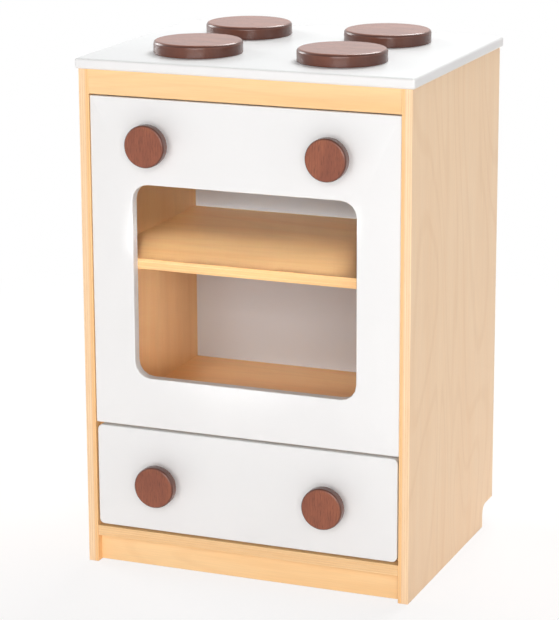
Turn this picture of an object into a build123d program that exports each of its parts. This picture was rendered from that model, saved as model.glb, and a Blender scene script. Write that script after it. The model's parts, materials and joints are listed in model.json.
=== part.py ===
"""A play stove for small children.

A birch plywood cabinet holds an open-windowed oven with one shelf, and a storage drawer under
it.  The white oven front carries two turning control knobs, the white drawer has two fixed
pulls of the same turning, and four round wooden burners are screwed to the white cooktop.

Millimetres, +Z up, the front looks along -Y.  The origin lies on the floor, under the middle of
the overall box.
"""
import os

from build123d import *

os.makedirs("parts", exist_ok=True)

# ---- Driving sizes -------------------------------------------------------------------------
# Boards
ply = 12.5                    # sides, shelves, rails and toe board
white_board = 12.5            # painted board of the oven front and the drawer front
top_board = 12.5              # painted board of the cooktop
back_board = 6.0
drawer_board = 9.0            # sides, back and inner front of the drawer box
drawer_bottom_board = 4.0

# Cabinet, from the floor up
cabinet_width = 405.0         # over both side panels
side_height = 597.5
side_depth = 323.5
toe_height = 33.5             # floor to the underside of the bottom panel
drawer_bay = 119.5            # clear height between bottom panel and oven floor
lower_oven = 185.5            # clear height between oven floor and oven shelf
rail_height = 28.5
toe_setback = 10.0
toe_lift = 1.0                # keeps the toe board off the floor
back_inset = 16.5             # rear edge of the sides to the rear face of the back panel
notch_depth = 40.0            # lets the sides clear a skirting board
notch_height = 28.0
notch_radius = 11.0
top_overhang = 3.5
top_round = 3.0
edge_ease = 0.8               # sanded arris of a plywood board
white_ease = 1.2              # sanded arris of a painted board

# Joinery
dado_depth = 4.0
dado_start = 14.0             # the housings stop this far behind the front edge
groove_depth = 5.0            # grooves for the back panel
glue_gap = 0.1                # clearance all round in a glued joint
dowel_diameter = 6.0
dowel_length = 28.0
dowel_side_bite = 8.0         # into the face of a side panel or the cooktop
top_dowel_inset = 40.0        # first and last cooktop dowel from the ends of a side
rail_dowel_spacing = 13.0
toe_dowel_spacing = 15.0
cleat = 15.0                  # square strips behind the oven front

# Oven front and its window
front_setback = 1.5
front_side_gap = 0.5
rail_gap = 2.0                # shadow gap under the top rail
floor_lap = 2.5               # how far the oven front covers the edge of the oven floor
window_sill = 60.0            # widths of the board left under, over and beside the window
window_head = 100.5
window_stile = 52.0
window_radius = 19.0

# Burners
burner_diameter = 104.0
burner_thickness = 15.0
burner_round = 4.0
burner_ease = 1.0
burner_side_inset = 117.0     # edge of the cooktop to the burner axis
burner_end_inset = 88.25
burner_screw_spacing = 50.0

# Turned knobs
knob_diameter = 49.4
knob_disc = 12.0
knob_neck = 14.0              # board to the back of the disc
knob_neck_diameter = 18.0
knob_base_diameter = 24.0
knob_base_lip = 1.5
knob_face_round = 2.5
knob_back_round = 1.8
control_inset = 79.5          # side edge of the oven front to the knob axis
control_drop = 50.5           # upper edge of the oven front to the knob axis
pull_inset = 83.3             # side edge of the drawer front to the knob axis

# Control knob hardware
spindle_diameter = 6.0
spindle_socket = 16.0         # depth of the glued end inside the knob
spindle_clearance = 0.05      # radial, where the spindle turns in the oven front
spindle_chamfer = 0.6
spindle_tail = 2.0            # thread showing behind the nut
washer_diameter = 20.0
washer_thickness = 1.0
nut_across_flats = 10.0
nut_height = 5.0
nut_collar = 1.5              # nylon ring of the locking nut
turning_gap = 0.2             # washer to board, front and rear

# Drawer
drawer_shut_gap = 0.3         # drawer front to the edge of the oven floor that stops it
drawer_top_gap = 3.0
drawer_foot_gap = 2.5
drawer_side_gap = 1.7
drawer_corner = 6.5
drawer_box_gap = 1.8          # drawer side to cabinet side
drawer_ride = 0.3             # running clearance over the bottom panel
drawer_box_drop = 9.2         # underside of the oven floor to the upper edge of the box
drawer_rear_gap = 3.5         # drawer box to back panel when shut
drawer_groove_height = 7.0    # lower edge of the box to its bottom
drawer_groove_depth = 4.0
drawer_dowel_diameter = 5.0
drawer_dowel_length = 20.0
drawer_dowel_bite = 5.5
drawer_dowel_spacing = 60.0
stop_width = 40.0
stop_depth = 18.0
stop_catch = 4.8              # how far the stop hangs down behind the drawer back
stop_corner = 3.0
stop_place = 3.0              # inner front of the shut drawer to the stop

# Screws
screw_diameter = 3.5
screw_head = 7.0
pan_head_height = 2.2
pull_screw_diameter = 4.0
pull_screw_bite = 13.0
pilot_clearance = 0.05        # radial, round every screw
burner_screw_bite = 10.0
front_screw_bite = 9.0
front_screw_inset = 30.0      # from the ends of a cleat
back_screw_length = 20.0
back_screw_spacing = 160.0
drawer_screw_bite = 8.0
drawer_screw_inset = 29.2     # inner face of a drawer side to the screw axis
drawer_screw_rise = 60.0      # between the two screws, one over the other
stop_screw_bite = 8.0

# ---- Places worked out from them -----------------------------------------------------------
inner_half = cabinet_width / 2 - ply
knob_height = knob_neck + knob_disc
control_reach = knob_height + washer_thickness + turning_gap - front_setback
pull_reach = knob_height + drawer_shut_gap - front_setback
front_y = (max(control_reach, pull_reach) - side_depth - top_overhang) / 2
rear_y = front_y + side_depth
back_rear_y = rear_y - back_inset
back_front_y = back_rear_y - back_board
housing_y = front_y + dado_start

bottom_z = toe_height
bottom_top = bottom_z + ply
oven_floor_z = bottom_top + drawer_bay
oven_floor_top = oven_floor_z + ply
shelf_z = oven_floor_top + lower_oven
shelf_top = shelf_z + ply
rail_z = side_height - rail_height
cooktop_z = side_height + top_board

panel_y = front_y + front_setback
panel_rear_y = panel_y + white_board
panel_z = oven_floor_top - floor_lap
panel_top = rail_z - rail_gap
panel_half = inner_half - front_side_gap
window_z = panel_z + window_sill
window_top = panel_top - window_head
window_half = panel_half - window_stile
control_z = panel_top - control_drop
control_xs = (control_inset - panel_half, panel_half - control_inset)

drawer_z = bottom_top + drawer_foot_gap
drawer_top = panel_z - drawer_top_gap
drawer_rear_y = panel_rear_y - drawer_shut_gap
drawer_front_y = drawer_rear_y - white_board
box_half = inner_half - drawer_box_gap
box_z = bottom_top + drawer_ride
box_height = oven_floor_z - drawer_box_drop - box_z
box_end_y = back_front_y - drawer_rear_gap
box_inner_half = box_half - drawer_board
inner_front_y = drawer_rear_y + drawer_board
box_back_y = box_end_y - drawer_board
stop_height = drawer_box_drop + stop_catch
pull_z = (drawer_z + drawer_top) / 2
drawer_front_half = inner_half - drawer_side_gap
pull_xs = (pull_inset - drawer_front_half, drawer_front_half - pull_inset)

MIN, MID, MAX = Align.MIN, Align.CENTER, Align.MAX


def seen_from_front(y):
    """Sketch plane at depth y: X to the right, Z up, its normal towards the viewer."""
    return Plane.XZ.offset(-y)


def seen_from_side(x):
    """Sketch plane at x: depth to the right, Z up, its normal towards +X."""
    return Plane.YZ.offset(x)


def save(part, name):
    part.label = name
    export_step(part, f"parts/{name}.step")


def spread(total, count):
    """Count places spaced evenly over a total length, about zero."""
    return [total * (i / (count - 1) - 0.5) for i in range(count)]


# ---- Dowel places shared by the boards they join --------------------------------------------
side_mid_x = inner_half + ply / 2
side_mid_y = front_y + side_depth / 2
top_dowel_ys = [side_mid_y + dy for dy in spread(side_depth - 2 * top_dowel_inset, 3)]
rail_mid_z = rail_z + rail_height / 2
toe_mid_z = (toe_lift + toe_height) / 2
rail_dowel_zs = [rail_mid_z + dz for dz in spread(rail_dowel_spacing, 2)]
toe_dowel_zs = [toe_mid_z + dz for dz in spread(toe_dowel_spacing, 2)]
top_rail_mid_y = front_y + ply / 2
rear_rail_mid_y = back_front_y - ply / 2
toe_mid_y = front_y + toe_setback + ply / 2
side_dowels = [(y, z) for y in (top_rail_mid_y, rear_rail_mid_y) for z in rail_dowel_zs]
side_dowels += [(toe_mid_y, z) for z in toe_dowel_zs]
dowel_hole = dowel_diameter / 2 + glue_gap / 2
dowel_board_bite = dowel_length - dowel_side_bite

# ---- Screw places shared by the boards they join ---------------------------------------------
screw_hole = screw_diameter / 2 + pilot_clearance
back_screw_xs = spread(2 * back_screw_spacing, 3)
board_mid_zs = [z + ply / 2 for z in (bottom_z, oven_floor_z, shelf_z)]
back_screw_places = [(x, z) for x in back_screw_xs for z in (*board_mid_zs, rail_mid_z)]
back_screw_reach = back_screw_length - back_board + glue_gap
stop_screw_place = (0, inner_front_y + stop_place + stop_depth / 2)

# ---- Side panels ----------------------------------------------------------------------------
with BuildPart() as left_side:
    with BuildSketch(seen_from_side(-inner_half)) as outline:
        with Locations((side_mid_y, 0)):
            Rectangle(side_depth, side_height, align=(MID, MIN))
        with Locations((rear_y, 0)):
            Rectangle(notch_depth, notch_height, align=(MAX, MIN), mode=Mode.SUBTRACT)
        notch_corner = outline.vertices().sort_by_distance((rear_y - notch_depth, notch_height, 0))[0]
        fillet(notch_corner, notch_radius)
    extrude(amount=-ply)
    front_arrises = left_side.faces().sort_by(Axis.Y)[0].edges().filter_by(Axis.Z)
    chamfer(front_arrises, edge_ease)
    with BuildSketch(seen_from_side(-inner_half)):
        for z in (bottom_z, oven_floor_z, shelf_z):
            with Locations((housing_y, z - glue_gap)):
                Rectangle(back_front_y - housing_y, ply + 2 * glue_gap, align=MIN)
    extrude(amount=-dado_depth, mode=Mode.SUBTRACT)
    with BuildSketch(seen_from_side(-inner_half)):
        with Locations((back_front_y - glue_gap, bottom_z - glue_gap)):
            Rectangle(back_board + 2 * glue_gap, side_height - bottom_z + glue_gap, align=MIN)
    extrude(amount=-groove_depth, mode=Mode.SUBTRACT)
    with BuildSketch(seen_from_side(-inner_half)):
        with Locations(*side_dowels):
            Circle(dowel_hole)
    extrude(amount=-dowel_side_bite - glue_gap, mode=Mode.SUBTRACT)
    with BuildSketch(Plane.XY.offset(side_height)):
        with Locations(*[(-side_mid_x, y) for y in top_dowel_ys]):
            Circle(dowel_hole)
    extrude(amount=-dowel_board_bite - glue_gap, mode=Mode.SUBTRACT)
save(left_side.part, "left_side")

with BuildPart() as right_side:
    mirror(left_side.part, about=Plane.YZ)
save(right_side.part, "right_side")


# ---- Boards housed in the sides ---------------------------------------------------------------
def housed_board(z, board_front_y):
    """A shelf from board_front_y to the back panel, its tongues let into both sides.

    Where it starts ahead of the housings, its front corners are cut back to the clear width.
    Its rear edge has the pilot holes of the back panel's screws.
    """
    depth = back_front_y - board_front_y
    tongue = dado_depth - glue_gap
    with BuildPart() as board:
        with BuildSketch(Plane.XY.offset(z)):
            with Locations((0, board_front_y)):
                Rectangle(2 * inner_half, depth, align=(MID, MIN))
            with Locations((0, max(board_front_y, housing_y + glue_gap))):
                tongue_depth = back_front_y - max(board_front_y, housing_y + glue_gap)
                Rectangle(2 * (inner_half + tongue), tongue_depth, align=(MID, MIN))
        extrude(amount=ply)
        front_arrises = board.faces().sort_by(Axis.Y)[0].edges().filter_by(Axis.X)
        chamfer(front_arrises, edge_ease)
        with BuildSketch(seen_from_front(back_front_y)):
            with Locations(*[(x, z + ply / 2) for x in back_screw_xs]):
                Circle(screw_hole)
        extrude(amount=back_screw_reach, mode=Mode.SUBTRACT)
    return board.part


save(housed_board(bottom_z, front_y), "bottom_panel")
save(housed_board(shelf_z, panel_rear_y), "oven_shelf")

with BuildPart() as oven_floor:
    add(housed_board(oven_floor_z, panel_rear_y))
    with BuildSketch(Plane.XY.offset(oven_floor_z)):
        with Locations(stop_screw_place):
            Circle(screw_hole)
    extrude(amount=stop_screw_bite + glue_gap, mode=Mode.SUBTRACT)
save(oven_floor.part, "oven_floor")


# ---- Rails and toe board ------------------------------------------------------------------------
def crosspiece(z, height, mid_y, dowel_zs):
    """A board on edge between the sides, with blind dowel holes in both ends."""
    with BuildPart() as board:
        with BuildSketch(seen_from_front(mid_y + ply / 2)):
            with Locations((0, z)):
                Rectangle(2 * inner_half, height, align=(MID, MIN))
        extrude(amount=ply)
        lower_arrises = board.faces().sort_by(Axis.Z)[0].edges().filter_by(Axis.X)
        chamfer(lower_arrises, edge_ease)
        for x, inward in ((-inner_half, 1), (inner_half, -1)):
            with BuildSketch(seen_from_side(x)):
                with Locations(*[(mid_y, dowel_z) for dowel_z in dowel_zs]):
                    Circle(dowel_hole)
            extrude(amount=inward * (dowel_board_bite + glue_gap), mode=Mode.SUBTRACT)
    return board.part


save(crosspiece(rail_z, rail_height, top_rail_mid_y, rail_dowel_zs), "top_rail")
save(crosspiece(toe_lift, toe_height - toe_lift, toe_mid_y, toe_dowel_zs), "toe_board")

with BuildPart() as rear_rail:
    add(crosspiece(rail_z, rail_height, rear_rail_mid_y, rail_dowel_zs))
    with BuildSketch(seen_from_front(back_front_y)):
        with Locations(*[(x, rail_mid_z) for x in back_screw_xs]):
            Circle(screw_hole)
    extrude(amount=ply, mode=Mode.SUBTRACT)
save(rear_rail.part, "rear_rail")

# ---- Dowels of the cabinet ----------------------------------------------------------------------
with BuildPart() as rail_dowels:
    for inner_face, outward in ((-inner_half, -1), (inner_half, 1)):
        with BuildSketch(seen_from_side(inner_face + outward * dowel_side_bite)):
            with Locations(*side_dowels):
                Circle(dowel_diameter / 2)
        extrude(amount=-outward * dowel_length)
save(rail_dowels.part, "rail_dowels")

with BuildPart() as top_dowels:
    with BuildSketch(Plane.XY.offset(side_height + dowel_side_bite)):
        with Locations(*[(x, y) for x in (-side_mid_x, side_mid_x) for y in top_dowel_ys]):
            Circle(dowel_diameter / 2)
    extrude(amount=-dowel_length)
save(top_dowels.part, "top_dowels")

# ---- Back panel -----------------------------------------------------------------------------------
with BuildPart() as back_panel:
    with BuildSketch(seen_from_front(back_rear_y)):
        with Locations((0, bottom_z)):
            back_width = 2 * (inner_half + groove_depth - glue_gap)
            Rectangle(back_width, side_height - bottom_z, align=(MID, MIN))
        with Locations(*back_screw_places):
            Circle(screw_hole, mode=Mode.SUBTRACT)
    extrude(amount=back_board)
save(back_panel.part, "back_panel")

# ---- Cooktop ----------------------------------------------------------------------------------------
top_width = cabinet_width + 2 * top_overhang
top_depth = side_depth + 2 * top_overhang
burner_half_x = top_width / 2 - burner_side_inset
burner_half_y = top_depth / 2 - burner_end_inset
burner_centres = [(x, side_mid_y + dy) for x in (-burner_half_x, burner_half_x)
                  for dy in (-burner_half_y, burner_half_y)]
burner_screw_places = [(x + dx, y) for x, y in burner_centres for dx in spread(burner_screw_spacing, 2)]

with BuildPart() as top_panel:
    with BuildSketch(Plane.XY.offset(side_height)):
        with Locations((0, side_mid_y)):
            RectangleRounded(top_width, top_depth, top_round)
    extrude(amount=top_board)
    fillet(top_panel.faces().sort_by(Axis.Z)[0].edges(), top_round)
    fillet(top_panel.faces().sort_by(Axis.Z)[-1].edges(), top_round)
    with BuildSketch(Plane.XY.offset(side_height)):
        with Locations(*[(x, y) for x in (-side_mid_x, side_mid_x) for y in top_dowel_ys]):
            Circle(dowel_hole)
    extrude(amount=dowel_side_bite + glue_gap, mode=Mode.SUBTRACT)
    with BuildSketch(Plane.XY.offset(side_height)):
        with Locations(*burner_screw_places):
            Circle(screw_hole)
    extrude(amount=top_board, mode=Mode.SUBTRACT)
save(top_panel.part, "top_panel")

# ---- Burners ----------------------------------------------------------------------------------------
burner_names = ["burner_front_left", "burner_back_left", "burner_front_right", "burner_back_right"]
for burner_name, (x, y) in zip(burner_names, burner_centres):
    with BuildPart() as burner:
        with BuildSketch(Plane.XY.offset(cooktop_z)):
            with Locations((x, y)):
                Circle(burner_diameter / 2)
        extrude(amount=burner_thickness)
        fillet(burner.edges().sort_by(Axis.Z)[-1], burner_round)
        chamfer(burner.edges().sort_by(Axis.Z)[0], burner_ease)
        with BuildSketch(Plane.XY.offset(cooktop_z)):
            with Locations(*[(x + dx, y) for dx in spread(burner_screw_spacing, 2)]):
                Circle(screw_hole)
        extrude(amount=burner_screw_bite + glue_gap, mode=Mode.SUBTRACT)
    save(burner.part, burner_name)

# ---- Oven front with its window ---------------------------------------------------------------------
cleat_mid_x = inner_half - cleat / 2
lower_cleat = (oven_floor_top, shelf_z)
upper_cleat = (shelf_top, side_height)
front_screw_zs = [lower_cleat[0] + front_screw_inset, lower_cleat[1] - front_screw_inset]
front_screw_zs += [upper_cleat[0] + front_screw_inset, panel_top - front_screw_inset]
front_screw_places = [(x, z) for x in (-cleat_mid_x, cleat_mid_x) for z in front_screw_zs]

with BuildPart() as oven_front:
    with BuildSketch(seen_from_front(panel_rear_y)):
        with Locations((0, panel_z)):
            Rectangle(2 * panel_half, panel_top - panel_z, align=(MID, MIN))
    extrude(amount=white_board)
    with BuildSketch(seen_from_front(panel_rear_y)):
        with Locations((0, (window_z + window_top) / 2)):
            RectangleRounded(2 * window_half, window_top - window_z, window_radius)
    extrude(amount=white_board, mode=Mode.SUBTRACT)
    chamfer(oven_front.faces().sort_by(Axis.Y)[0].edges(), white_ease)
    with BuildSketch(seen_from_front(panel_rear_y)):
        with Locations(*[(x, control_z) for x in control_xs]):
            Circle(spindle_diameter / 2 + spindle_clearance)
    extrude(amount=white_board, mode=Mode.SUBTRACT)
    with BuildSketch(seen_from_front(panel_rear_y)):
        with Locations(*front_screw_places):
            Circle(screw_hole)
    extrude(amount=front_screw_bite + glue_gap, mode=Mode.SUBTRACT)
save(oven_front.part, "oven_front")


# ---- Cleats that carry the oven front ----------------------------------------------------------------
def front_cleat(x, low, high):
    """A square strip glued to a side behind the oven front, drilled for its screws."""
    with BuildPart() as strip:
        with BuildSketch(Plane.XY.offset(low)):
            with Locations((x, panel_rear_y)):
                Rectangle(cleat, cleat, align=(MID, MIN))
        extrude(amount=high - low)
        with BuildSketch(seen_from_front(panel_rear_y + cleat)):
            with Locations(*[(x, z) for z in front_screw_zs if low < z < high]):
                Circle(screw_hole)
        extrude(amount=cleat, mode=Mode.SUBTRACT)
    return strip.part


for hand, x in (("left", -cleat_mid_x), ("right", cleat_mid_x)):
    save(front_cleat(x, *lower_cleat), f"lower_cleat_{hand}")
    save(front_cleat(x, *upper_cleat), f"upper_cleat_{hand}")


# ---- Screws --------------------------------------------------------------------------------------------
def pan_screw(length, diameter):
    """A screw whose head stands on z = 0; its shank runs down."""
    rim = screw_head / 2
    with BuildPart() as screw:
        with BuildSketch(Plane.XZ):
            with BuildLine():
                Polyline(
                    (0, pan_head_height), (0, -length), (diameter / 2, -length), (diameter / 2, 0),
                    (rim, 0), (rim, pan_head_height / 2), (rim - pan_head_height / 2, pan_head_height),
                    (0, pan_head_height))
            make_face()
        revolve(axis=Axis.Z)
    return screw.part


def screw_group(name, screw, places, outward):
    """Copies of one screw: heads at the places, on a surface that faces outward."""
    with BuildPart() as group:
        for place in places:
            add(screw.moved(Plane(origin=place, z_dir=outward).location))
    save(group.part, name)


DOWN = (0, 0, -1)
BACKWARD = (0, 1, 0)

burner_screw = pan_screw(top_board + burner_screw_bite, screw_diameter)
screw_group("burner_screws", burner_screw, [(x, y, side_height) for x, y in burner_screw_places], DOWN)

front_screw = pan_screw(cleat + front_screw_bite, screw_diameter)
front_screw_heads = [(x, panel_rear_y + cleat, z) for x, z in front_screw_places]
screw_group("oven_front_screws", front_screw, front_screw_heads, BACKWARD)

# ---- Turned knobs ---------------------------------------------------------------------------------------
def turned_knob(x, base_y, z, bore, bore_depth):
    """A mushroom knob turned about its axis: base lip, coved neck and a thick round disc.

    The profile lies in a plane through the axis, its first axis radial and its second one
    pointing out of the board.
    """
    base, neck, rim = knob_base_diameter / 2, knob_neck_diameter / 2, knob_diameter / 2
    cove = base - neck
    profile_plane = Plane(origin=(x, base_y, z), x_dir=(1, 0, 0), z_dir=(0, 0, -1))
    with BuildPart() as knob:
        with BuildSketch(profile_plane) as profile:
            with BuildLine():
                Polyline((bore, 0), (base, 0), (base, knob_base_lip))
                CenterArc((base, knob_base_lip + cove), cove, 270, -90)
                Line((neck, knob_base_lip + cove), (neck, knob_neck - cove))
                CenterArc((neck + cove, knob_neck - cove), cove, 180, -90)
                Polyline(
                    (neck + cove, knob_neck), (rim, knob_neck), (rim, knob_height), (0, knob_height),
                    (0, bore_depth), (bore, bore_depth), (bore, 0))
            make_face()
            front_corner = profile.vertices().sort_by_distance((rim, knob_height, 0))[0]
            fillet(front_corner, knob_face_round)
            back_corner = profile.vertices().sort_by_distance((rim, knob_neck, 0))[0]
            fillet(back_corner, knob_back_round)
        revolve(axis=Axis((x, base_y, z), (0, 1, 0)))
    return knob.part


# ---- Control knobs, each turning with its spindle, washers and locking nut ------------------------------
knob_base_y = panel_y - turning_gap - washer_thickness
rear_washer_y = panel_rear_y + turning_gap
nut_y = rear_washer_y + washer_thickness
spindle_front_y = knob_base_y - spindle_socket
spindle_end_y = nut_y + nut_height + nut_collar + spindle_tail
spindle_radius = spindle_diameter / 2
snug_bore = spindle_radius + pilot_clearance

for hand, x in zip(("left", "right"), control_xs):
    knob = turned_knob(x, knob_base_y, control_z, snug_bore, spindle_socket + glue_gap)
    save(knob, f"control_knob_{hand}")

    with BuildPart() as spindle:
        with BuildSketch(seen_from_front(spindle_end_y)):
            with Locations((x, control_z)):
                Circle(spindle_radius)
        extrude(amount=spindle_end_y - spindle_front_y)
        chamfer(spindle.edges().filter_by(GeomType.CIRCLE), spindle_chamfer)
    save(spindle.part, f"knob_spindle_{hand}")

    with BuildPart() as washers:
        for washer_rear_y in (knob_base_y + washer_thickness, nut_y):
            with BuildSketch(seen_from_front(washer_rear_y)):
                with Locations((x, control_z)):
                    Circle(washer_diameter / 2)
                    Circle(snug_bore, mode=Mode.SUBTRACT)
            extrude(amount=washer_thickness)
    save(washers.part, f"knob_washers_{hand}")

    with BuildPart() as nut:
        with BuildSketch(seen_from_front(nut_y + nut_height)):
            with Locations((x, control_z)):
                RegularPolygon(nut_across_flats / 2, 6, major_radius=False)
        extrude(amount=nut_height)
        with BuildSketch(seen_from_front(nut_y + nut_height + nut_collar)):
            with Locations((x, control_z)):
                Circle(nut_across_flats / 2)
        extrude(amount=nut_collar)
        with BuildSketch(seen_from_front(nut_y + nut_height + nut_collar)):
            with Locations((x, control_z)):
                Circle(snug_bore)
        extrude(amount=nut_height + nut_collar, mode=Mode.SUBTRACT)
    save(nut.part, f"knob_nut_{hand}")

# ---- Drawer front ---------------------------------------------------------------------------------------
pull_hole = pull_screw_diameter / 2 + pilot_clearance
drawer_screw_zs = [box_z + box_height / 2 + dz for dz in spread(drawer_screw_rise, 2)]
drawer_screw_xs = (drawer_screw_inset - box_inner_half, box_inner_half - drawer_screw_inset)
drawer_screw_places = [(x, z) for x in drawer_screw_xs for z in drawer_screw_zs]

with BuildPart() as drawer_front:
    with BuildSketch(seen_from_front(drawer_rear_y)):
        with Locations((0, pull_z)):
            RectangleRounded(2 * drawer_front_half, drawer_top - drawer_z, drawer_corner)
    extrude(amount=white_board)
    fillet(drawer_front.faces().sort_by(Axis.Y)[0].edges(), white_ease)
    with BuildSketch(seen_from_front(drawer_rear_y)):
        with Locations(*[(x, pull_z) for x in pull_xs]):
            Circle(pull_hole)
    extrude(amount=white_board, mode=Mode.SUBTRACT)
    with BuildSketch(seen_from_front(drawer_rear_y)):
        with Locations(*drawer_screw_places):
            Circle(screw_hole)
    extrude(amount=drawer_screw_bite + glue_gap, mode=Mode.SUBTRACT)
save(drawer_front.part, "drawer_front")

for hand, x in zip(("left", "right"), pull_xs):
    save(turned_knob(x, drawer_front_y, pull_z, pull_hole, pull_screw_bite + glue_gap), f"drawer_knob_{hand}")

# ---- Drawer box -----------------------------------------------------------------------------------------
bottom_z_in_box = box_z + drawer_groove_height
drawer_groove = drawer_bottom_board + 2 * glue_gap
box_mid_z = box_z + box_height / 2
drawer_dowel_zs = [box_mid_z + dz for dz in spread(drawer_dowel_spacing, 2)]
corner_ys = (drawer_rear_y + drawer_board / 2, box_end_y - drawer_board / 2)
drawer_dowels_at = [(y, z) for y in corner_ys for z in drawer_dowel_zs]
drawer_dowel_hole = drawer_dowel_diameter / 2 + glue_gap / 2

with BuildPart() as drawer_side_left:
    with BuildSketch(seen_from_side(-box_inner_half)):
        with Locations((drawer_rear_y, box_z)):
            Rectangle(box_end_y - drawer_rear_y, box_height, align=MIN)
    extrude(amount=-drawer_board)
    fillet(drawer_side_left.faces().sort_by(Axis.Z)[-1].edges().filter_by(Axis.Y), edge_ease)
    with BuildSketch(seen_from_side(-box_inner_half)):
        with Locations((inner_front_y - drawer_groove_depth, bottom_z_in_box - glue_gap)):
            groove_length = box_back_y - inner_front_y + 2 * drawer_groove_depth
            Rectangle(groove_length, drawer_groove, align=MIN)
    extrude(amount=-drawer_groove_depth, mode=Mode.SUBTRACT)
    with BuildSketch(seen_from_side(-box_inner_half)):
        with Locations(*drawer_dowels_at):
            Circle(drawer_dowel_hole)
    extrude(amount=-drawer_dowel_bite - glue_gap, mode=Mode.SUBTRACT)
save(drawer_side_left.part, "drawer_side_left")

with BuildPart() as drawer_side_right:
    mirror(drawer_side_left.part, about=Plane.YZ)
save(drawer_side_right.part, "drawer_side_right")


def drawer_end(front, groove_front, holes):
    """A board between the drawer sides, grooved for the bottom and drilled at both ends.

    holes lists (x, z, radius) of the holes right through it.
    """
    with BuildPart() as board:
        with BuildSketch(seen_from_front(front + drawer_board)):
            with Locations((0, box_z)):
                Rectangle(2 * box_inner_half, box_height, align=(MID, MIN))
        extrude(amount=drawer_board)
        fillet(board.faces().sort_by(Axis.Z)[-1].edges().filter_by(Axis.X), edge_ease)
        with BuildSketch(seen_from_front(groove_front + drawer_groove_depth)):
            with Locations((0, bottom_z_in_box - glue_gap)):
                Rectangle(2 * box_inner_half, drawer_groove, align=(MID, MIN))
        extrude(amount=drawer_groove_depth, mode=Mode.SUBTRACT)
        for x, inward in ((-box_inner_half, 1), (box_inner_half, -1)):
            with BuildSketch(seen_from_side(x)):
                with Locations(*[(front + drawer_board / 2, z) for z in drawer_dowel_zs]):
                    Circle(drawer_dowel_hole)
            hole_depth = drawer_dowel_length - drawer_dowel_bite + glue_gap
            extrude(amount=inward * hole_depth, mode=Mode.SUBTRACT)
        for x, z, radius in holes:
            with BuildSketch(seen_from_front(front + drawer_board)):
                with Locations((x, z)):
                    Circle(radius)
            extrude(amount=drawer_board, mode=Mode.SUBTRACT)
    return board.part


inner_front_holes = [(x, pull_z, pull_hole) for x in pull_xs]
inner_front_holes += [(x, z, screw_hole) for x, z in drawer_screw_places]
inner_front_groove_y = inner_front_y - drawer_groove_depth
save(drawer_end(drawer_rear_y, inner_front_groove_y, inner_front_holes), "drawer_inner_front")
save(drawer_end(box_back_y, box_back_y, []), "drawer_back")

with BuildPart() as drawer_bottom:
    with BuildSketch(Plane.XY.offset(bottom_z_in_box)):
        with Locations((0, (inner_front_y + box_back_y) / 2)):
            reach = drawer_groove_depth - glue_gap
            Rectangle(2 * (box_inner_half + reach), box_back_y - inner_front_y + 2 * reach)
    extrude(amount=drawer_bottom_board)
save(drawer_bottom.part, "drawer_bottom")

with BuildPart() as drawer_dowels:
    for inner_face, outward in ((-box_inner_half, -1), (box_inner_half, 1)):
        with BuildSketch(seen_from_side(inner_face + outward * drawer_dowel_bite)):
            with Locations(*drawer_dowels_at):
                Circle(drawer_dowel_diameter / 2)
        extrude(amount=-outward * drawer_dowel_length)
save(drawer_dowels.part, "drawer_dowels")

pull_screw = pan_screw(drawer_board + white_board + pull_screw_bite, pull_screw_diameter)
screw_group("drawer_knob_screws", pull_screw, [(x, inner_front_y, pull_z) for x in pull_xs], BACKWARD)

drawer_screw = pan_screw(drawer_board + drawer_screw_bite, screw_diameter)
drawer_screw_heads = [(x, inner_front_y, z) for x, z in drawer_screw_places]
screw_group("drawer_front_screws", drawer_screw, drawer_screw_heads, BACKWARD)

# ---- Drawer stop, under the oven floor ------------------------------------------------------------------
with BuildPart() as drawer_stop:
    with BuildSketch(Plane.XY.offset(oven_floor_z)):
        with Locations(stop_screw_place):
            Rectangle(stop_width, stop_depth)
    extrude(amount=-stop_height)
    fillet(drawer_stop.edges().filter_by(Axis.Z), stop_corner)
    chamfer(drawer_stop.faces().sort_by(Axis.Z)[0].edges(), edge_ease)
    with BuildSketch(Plane.XY.offset(oven_floor_z)):
        with Locations(stop_screw_place):
            Circle(screw_hole)
    extrude(amount=-stop_height, mode=Mode.SUBTRACT)
save(drawer_stop.part, "drawer_stop")

stop_screw = pan_screw(stop_height + stop_screw_bite, screw_diameter)
stop_screw_head = (*stop_screw_place, oven_floor_z - stop_height)
screw_group("drawer_stop_screw", stop_screw, [stop_screw_head], DOWN)

# ---- Screws through the back panel ------------------------------------------------------------------------
back_screw = pan_screw(back_screw_length, screw_diameter)
back_screw_heads = [(x, back_rear_y, z) for x, z in back_screw_places]
screw_group("back_screws", back_screw, back_screw_heads, BACKWARD)
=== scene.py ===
# %% [markdown]
# # Dressing a play stove
# The maker's model fixes every board, knob and screw of this toy: where it is, how big it is and
# what it moves with.  It says nothing of birch, paint or stain.  This lesson gives each piece the
# surface that the real one has, and every piece stays exactly where the model puts it.

# %% Load the model
import json
import math

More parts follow.
